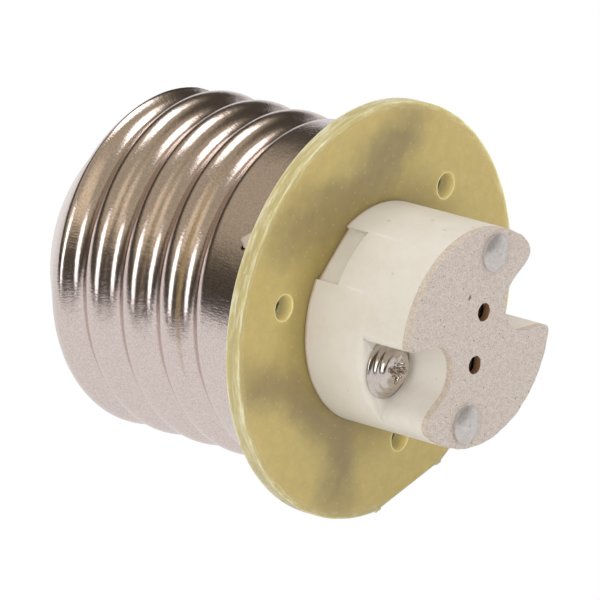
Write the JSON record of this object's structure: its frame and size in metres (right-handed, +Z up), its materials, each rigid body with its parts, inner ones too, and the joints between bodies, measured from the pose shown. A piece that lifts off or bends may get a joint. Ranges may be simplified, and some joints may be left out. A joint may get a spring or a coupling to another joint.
{
  "type": "lamp socket adapter",
  "caption": "Screw lamp cap joined through a glass-fibre disc to a notched ceramic two-pin socket with a mica cover.",
  "frame": {"origin": "middle of the bounding box's base, on the surface the part lies on", "axes": "+X runs along the part's level direction towards the socket's face, which is raised 7 degrees; +Z is up"},
  "size_m": [0.038, 0.032, 0.0315],
  "materials": {
    "nickel_shell": "nickel plated, bright",
    "insulator": "glazed, pale",
    "contact_metal": "nickel plated",
    "solder": "satin",
    "glass_fibre_board": "translucent, bare",
    "adhesive": "cured",
    "ceramic": "unglazed steatite",
    "mica": "pressed mica sheet",
    "copper": "tinned at the ends",
    "lead_insulation": "silicone",
    "rivet_metal": "nickel plated",
    "screw_steel": "zinc plated"
  },
  "bodies": {
    "root": {"screw_shell": "nickel_shell", "end_insulator": "insulator", "centre_contact": "contact_metal", "centre_solder": "solder", "board_disc": "glass_fibre_board", "glue_bead": "adhesive", "ceramic_body": "ceramic", "mica_cover": "mica", "centre_lead_core": "copper", "centre_lead_sleeve": "lead_insulation", "shell_lead_core": "copper", "shell_lead_sleeve": "lead_insulation", "shell_solder": "solder", "rivet_a": "rivet_metal", "rivet_b": "rivet_metal", "washer_screw_a": "screw_steel", "washer_screw_b": "screw_steel", "hex_nut_a": "screw_steel", "hex_nut_b": "screw_steel", "contact_clip_a": "contact_metal", "contact_clip_b": "contact_metal"}
  },
  "joints": []
}
